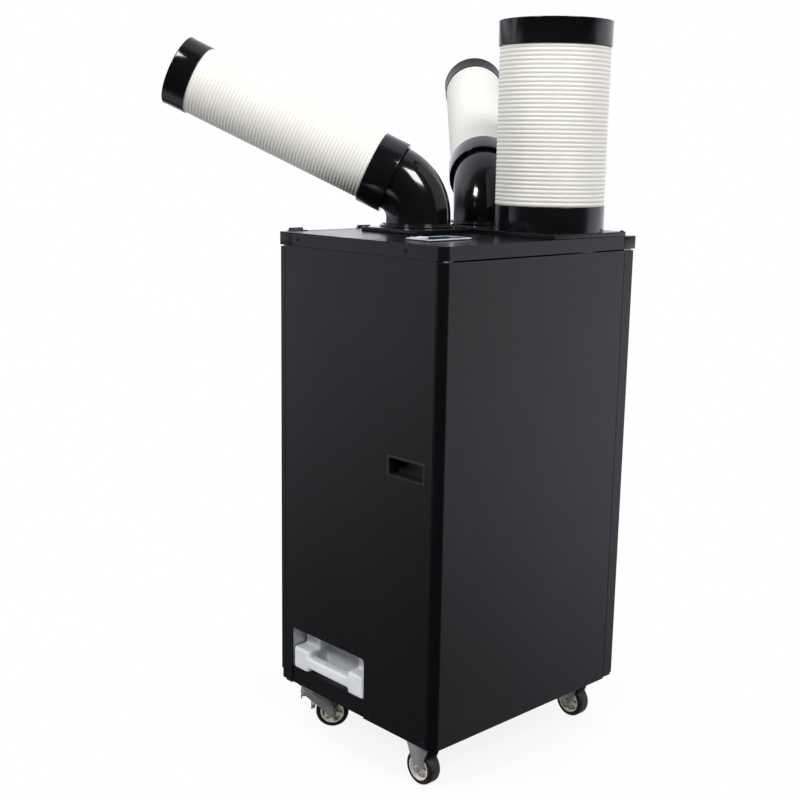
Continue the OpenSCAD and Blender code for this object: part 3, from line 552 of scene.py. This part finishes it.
def build_elbow(side, base_z, neck, bend, bend_r, radius, wall):
    """Hollow elbow swept along its neck and bend, with a narrow cuff round its foot."""
    pivot = joint_point(side + "_swivel")
    direction = joint_axis(side + "_hose_pull")
    flat = Vector((direction.x, direction.y, 0)).normalized()
    up_z = Vector((0, 0, 1))
    across = up_z.cross(flat)
    neck_steps, bend_steps, sides = 4, 40, 96
    path = []
    for i in range(neck_steps + 1):
        path.append((Vector((pivot.x, pivot.y, base_z + neck * i / neck_steps)), up_z))
    for i in range(1, bend_steps + 1):
        a = bend * i / bend_steps
        centre = Vector((pivot.x, pivot.y, base_z + neck)) + flat * bend_r * (1 - math.cos(a))
        centre += up_z * (bend_r * math.sin(a))
        path.append((centre, flat * math.sin(a) + up_z * math.cos(a)))
    bm = bmesh.new()
    shells = []
    for shell in (radius, radius - wall):
        rings = []
        for centre, tangent in path:
            up = tangent.cross(across).normalized()
            ring = []
            for k in range(sides):
                t = 2 * math.pi * k / sides
                ring.append(bm.verts.new(centre + (across * math.cos(t) + up * math.sin(t)) * shell))
            rings.append(ring)
        shells.append(rings)
    for rings in shells:
        for here, there in zip(rings, rings[1:]):
            for k in range(sides):
                m = (k + 1) % sides
                bm.faces.new((here[k], here[m], there[m], there[k]))
    for end in (0, -1):
        outer, inner = shells[0][end], shells[1][end]
        for k in range(sides):
            m = (k + 1) % sides
            bm.faces.new((outer[k], outer[m], inner[m], inner[k]))
    from_bmesh("swept_elbow_" + side, bm, "gloss_black", side + "_elbow", ["elbow_" + side])
    overlap, cuff_wall, cuff_height, cuff_edge = 0.2 * MM, 1 * MM, 9 * MM, 0.6 * MM
    cuff = bmesh.new()
    profile = rounded_ring(radius - overlap, radius + cuff_wall, 0.0, cuff_height, cuff_edge)
    revolve(cuff, profile, Vector((pivot.x, pivot.y, base_z)), up_z, steps=112)
    from_bmesh("elbow_foot_" + side, cuff, "gloss_black", side + "_elbow")


def build_cold_ducts():
    """Both cold ducts, from the swivelling elbow out to the end collar."""
    nozzle_len, collar_len, insert = 51 * MM, 56 * MM, 40 * MM
    hose_r, elbow_r, elbow_wall = 74.5 * MM, 71 * MM, 3 * MM
    socket_in, socket_out = hose_r + 0.3 * MM, elbow_r + 9 * MM
    neck, bend, bend_r = 21.7 * MM, math.radians(65), 92 * MM
    for side, free in (("left", 423 * MM), ("right", 443 * MM)):
        hose_len = free + insert
        direction = joint_axis(side + "_hose_pull")
        # the hose's box is centred on the middle of its axis
        mid = span("cold_hose_" + side)[2]
        hose_start = mid - direction * hose_len / 2
        hose_end = mid + direction * hose_len / 2
        build_cold_hose(side, hose_start, direction, hose_r, hose_len, insert)
        build_nozzle(side, hose_end, direction, hose_r, nozzle_len)
        socket = mid - direction * (hose_len / 2 + collar_len - insert)
        build_socket(side, socket, direction, socket_in, elbow_r - elbow_wall, socket_out, collar_len)
        foot_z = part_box("elbow_" + side)[0].z
        build_elbow(side, foot_z, neck, bend, bend_r, elbow_r, elbow_wall)


def build_exhaust():
    """Wide ribbed hose between two plain collars."""
    up = Vector((0, 0, 1))
    hose_lo, hose_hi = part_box("exhaust_hose")
    base_lo, base_hi, base_mid, _ = span("exhaust_collar")
    end_lo, end_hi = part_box("exhaust_end")
    axis = Vector((base_mid.x, base_mid.y, 0))

    crest, wall, rib_depth, ribs = 118 * MM, 2.0 * MM, 1.2 * MM, 38
    cuff_r = crest - 2.6 * MM
    gap = 0.3 * MM
    bottom = base_hi.z + gap
    cuff_top = bottom - 0.1 * MM
    profile = [(cuff_r - wall, hose_lo.z), (cuff_r, hose_lo.z), (cuff_r, cuff_top)]
    profile += ribbed_wall(crest, rib_depth, wall, bottom, hose_hi.z, ribs, per_rib=10, flat=0.6)
    profile += [(cuff_r - wall, cuff_top)]
    bm = bmesh.new()
    revolve(bm, profile, axis, up, steps=160)
    from_bmesh("ribbed_exhaust_hose", bm, "hose_ivory", "exhaust_duct", ["exhaust_hose"])

    socket_in, socket_out, socket_edge = 116 * MM, 119.5 * MM, 0.8 * MM
    socket = rounded_ring(socket_in, socket_out, base_lo.z, base_hi.z, socket_edge)
    bm = bmesh.new()
    revolve(bm, socket, axis, up, steps=160)
    from_bmesh("exhaust_socket", bm, "gloss_black", "cabinet", ["exhaust_collar"])

    inner, out = 115 * MM, 120.5 * MM
    chamfer, edge, lip, band, swell = 0.4 * MM, 0.8 * MM, 1.2 * MM, 4 * MM, 0.9 * MM
    low, high = end_lo.z, end_hi.z
    profile = [(inner, low + chamfer), (inner + chamfer, low)]
    profile += arc(out - edge, low + edge, edge, start=-90, end=0, steps=4)
    profile += [(out, high - band - 1 * MM), (out + swell, high - band)]
    profile += arc(out - 0.2 * MM, high - lip, lip, start=0, end=90, steps=5)
    profile += arc(inner + lip, high - lip, lip, start=90, end=180, steps=5)
    bm = bmesh.new()
    revolve(bm, profile, axis, up, steps=160)
    from_bmesh("exhaust_end_collar", bm, "gloss_black", "exhaust_duct", ["exhaust_end"])


# -------------------------------------------------------------------- tank
def build_tank():
    """Blow-moulded tank: the CAD shell remeshed as one skin and relaxed to soft edges."""
    cad = NODES["drain_tank"]
    mesh = cad.data.copy()
    mesh.transform(cad.matrix_world)
    obj = new_object("tank_shell", mesh, "tank_white", "tank", ["drain_tank"])
    remesh = obj.modifiers.new("fuse", "REMESH")
    remesh.mode = "VOXEL"
    remesh.voxel_size = 2.0 * MM
    remesh.use_smooth_shade = True
    relax = obj.modifiers.new("relax", "SMOOTH")
    relax.factor = 0.5
    relax.iterations = 12


# ----------------------------------------------------------------- castors
def build_wheel(name, joint, radius, width):
    """Tyre with a rounded tread on a spoked nylon hub."""
    centre = joint_point(joint)
    axis = joint_axis(joint)
    body = "wheel_" + name
    hub_r = radius - 10.5 * MM
    half = width / 2
    tread_round, chamfer = 7 * MM, 1 * MM
    bm = bmesh.new()
    profile = [(hub_r, -half + chamfer), (hub_r + chamfer, -half)]
    profile += [(radius - 9 * MM, -half), (radius - 8.4 * MM, -half)]
    profile += arc(radius - tread_round, -half + tread_round, tread_round, start=-90, end=0, steps=8)
    profile += arc(radius - tread_round, half - tread_round, tread_round, start=0, end=90, steps=8)
    profile += [(hub_r + chamfer, half), (hub_r, half - chamfer)]
    revolve(bm, profile, centre, axis, steps=96)
    from_bmesh("tread_" + name, bm, "tyre_black", body, ["tyre_" + name])

    bm = bmesh.new()
    rim = half - 0.5 * MM
    boss = half + 2 * MM
    bore_r, boss_r = 4.05 * MM, 7.6 * MM
    # one half of the section, from the bore out to the rim; the other half is its mirror image
    section = [(bore_r, boss), (boss_r, boss), (8.5 * MM, boss - 0.9 * MM), (8.8 * MM, 5 * MM)]
    section += [(hub_r - 4.5 * MM, 4 * MM), (hub_r - 3.2 * MM, rim - 0.8 * MM), (hub_r - 2.4 * MM, rim)]
    section += [(hub_r - 0.1 * MM, rim)]
    profile = [(r, -h) for r, h in section] + section[::-1]
    revolve(bm, profile, centre, axis, steps=96)
    side, up = basis(axis)
    spokes, first_spoke = 6, 15
    spoke_low, spoke_high = (8 * MM, -0.8 * MM, 3 * MM), (hub_r - 3.5 * MM, 0.8 * MM, 10 * MM)
    for k in range(spokes):
        a = math.radians(360 / spokes * k + first_spoke)
        out = side * math.cos(a) + up * math.sin(a)
        across = axis.cross(out)
        for face in (-1, 1):
            for v in box_into(bm, spoke_low, spoke_high):
                local = v.co.copy()
                v.co = centre + out * local.x + across * local.y + axis * local.z * face
    obj = from_bmesh("hub_" + name + "_spoked", bm, "hub_cream", body, ["hub_" + name])
    soften(obj, 0.3 * MM, segments=2, angle=40)


def build_wheels():
    """All four wheels, each sized by its CAD tyre."""
    for name, joint in (("rear_left", "rear_left_roll"), ("rear_right", "rear_right_roll"),
                        ("front_left", "front_left_roll"), ("front_right", "front_right_roll")):
        size = span("tyre_" + name)[3]
        radius = size.z / 2
        tilt = joint_axis(joint)
        # a tyre's box along X is its diameter and its width, both seen at the axle's slant
        width = (size.x - size.z * abs(tilt.y)) / abs(tilt.x)
        build_wheel(name, joint, radius, width)


# ------------------------------------------------------------------ studio
def area(name, spot, aim, size, power):
    """Square white lamp that faces a point."""
    lamp = bpy.data.lights.new(name, "AREA")
    lamp.shape = "SQUARE"
    lamp.size = size
    lamp.energy = power
    obj = bpy.data.objects.new(name, lamp)
    obj.location = spot
    obj.rotation_euler = (Vector(aim) - Vector(spot)).to_track_quat("-Z", "Y").to_euler()
    bpy.context.scene.collection.objects.link(obj)
    return obj


def grey_ramp(tree, source, stops):
    """Colour ramp over slightly cool grey levels: stops are (position, level) pairs."""
    cool = 1.06
    ramp = tree.nodes.new("ShaderNodeValToRGB")
    ramp.color_ramp.interpolation = "B_SPLINE"
    elements = ramp.color_ramp.elements
    ends = [(elements[0], stops[0]), (elements[1], stops[-1])]
    for element, (position, level) in ends:
        element.position = position
        element.color = (level, level, level * cool, 1)
    for position, level in stops[1:-1]:
        elements.new(position).color = (level, level, level * cool, 1)
    tree.links.new(source, ramp.inputs["Fac"])
    return ramp.outputs["Color"]


def along(tree, direction):
    """How far a ray looks along a direction, from 0 (away from it) to 1 (straight at it)."""
    coords = tree.nodes.new("ShaderNodeTexCoord")
    dot = tree.nodes.new("ShaderNodeVectorMath")
    dot.operation = "DOT_PRODUCT"
    dot.inputs[1].default_value = direction
    tree.links.new(coords.outputs["Generated"], dot.inputs[0])
    return spread(tree, dot.outputs["Value"], low=0.0, high=1.0, start=-1.0, end=1.0)


def build_world():
    """White to the camera; to the object a bright room with a dark floor and a dark camera side."""
    world = bpy.data.worlds.new("studio")
    bpy.context.scene.world = world
    world.use_nodes = True
    tree = world.node_tree
    background = tree.nodes["Background"]
    height = grey_ramp(tree, along(tree, BRIGHT_SIDE), ROOM_HEIGHT)
    side = grey_ramp(tree, along(tree, DARK_SIDE), ROOM_SIDE)
    room = tree.nodes.new("ShaderNodeMix")
    room.data_type = "RGBA"
    room.blend_type = "MULTIPLY"
    room.inputs["Factor"].default_value = 1.0
    tree.links.new(height, room.inputs[MIX_A])
    tree.links.new(side, room.inputs[MIX_B])
    power = tree.nodes.new("ShaderNodeVectorMath")
    power.operation = "SCALE"
    power.inputs["Scale"].default_value = ROOM_LIGHT
    tree.links.new(room.outputs[MIX_OUT], power.inputs[0])
    seen = tree.nodes.new("ShaderNodeLightPath")
    mix = tree.nodes.new("ShaderNodeMix")
    mix.data_type = "RGBA"
    tree.links.new(seen.outputs["Is Camera Ray"], mix.inputs["Factor"])
    tree.links.new(power.outputs["Vector"], mix.inputs[MIX_A])
    mix.inputs[MIX_B].default_value = (1.0, 1.0, 1.0, 1)
    tree.links.new(mix.outputs[MIX_OUT], background.inputs["Color"])
    background.inputs["Strength"].default_value = 1.0


def floor_material():
    """Faint matt floor that only the camera sees. It dissolves into the white past the castors."""
    mat = finish_material("studio_floor", dark=(0.86, 0.86, 0.86), light=(0.88, 0.88, 0.88),
                          rough=(0.6, 0.7), patch=1.0)
    tree = mat.node_tree
    coords = tree.nodes.new("ShaderNodeTexCoord")
    reach = tree.nodes.new("ShaderNodeVectorMath")
    reach.operation = "LENGTH"
    tree.links.new(coords.outputs["Object"], reach.inputs[0])
    fade = spread(tree, reach.outputs["Value"], low=0.88, high=1.0, start=0.25, end=0.75)
    seen = tree.nodes.new("ShaderNodeLightPath")
    unseen = spread(tree, seen.outputs["Is Camera Ray"], low=1.0, high=0.0, start=0.0, end=1.0)
    either = tree.nodes.new("ShaderNodeMath")
    either.operation = "MAXIMUM"
    tree.links.new(fade, either.inputs[0])
    tree.links.new(unseen, either.inputs[1])
    clear = tree.nodes.new("ShaderNodeBsdfTransparent")
    mix = tree.nodes.new("ShaderNodeMixShader")
    tree.links.new(either.outputs["Value"], mix.inputs["Fac"])
    tree.links.new(tree.nodes["Principled BSDF"].outputs["BSDF"], mix.inputs[1])
    tree.links.new(clear.outputs["BSDF"], mix.inputs[2])
    tree.links.new(mix.outputs["Shader"], tree.nodes["Material Output"].inputs["Surface"])
    return mat


def build_studio():
    """The surroundings, the floor and three lamps."""
    build_world()
    reach = 14.0
    corners = [(-reach, -reach, 0), (reach, -reach, 0), (reach, reach, 0), (-reach, reach, 0)]
    mesh = bpy.data.meshes.new("floor")
    mesh.from_pydata(corners, [], [(0, 1, 2, 3)])
    floor = bpy.data.objects.new("floor", mesh)
    mesh.materials.append(floor_material())
    bpy.context.scene.collection.objects.link(floor)
    area("key", spot=(-0.6, -3.4, 3.9), aim=(0, 0, 1.1), size=1.4, power=142)
    area("key_left", spot=(-3.6, -0.2, 3.7), aim=(0, 0, 1.1), size=0.9, power=112)
    bounce = area("bounce", spot=(-2.6, -0.5, -1.6), aim=(0, 0, 1.3), size=2.2, power=36)
    bounce.visible_glossy = False


# -------------------------------------------------------------------- main
bpy.context.scene.view_settings.view_transform = "Standard"
place_camera()
paint_cad()
soften_cad()
build_cold_ducts()
build_exhaust()
build_tank()
build_wheels()
build_studio()
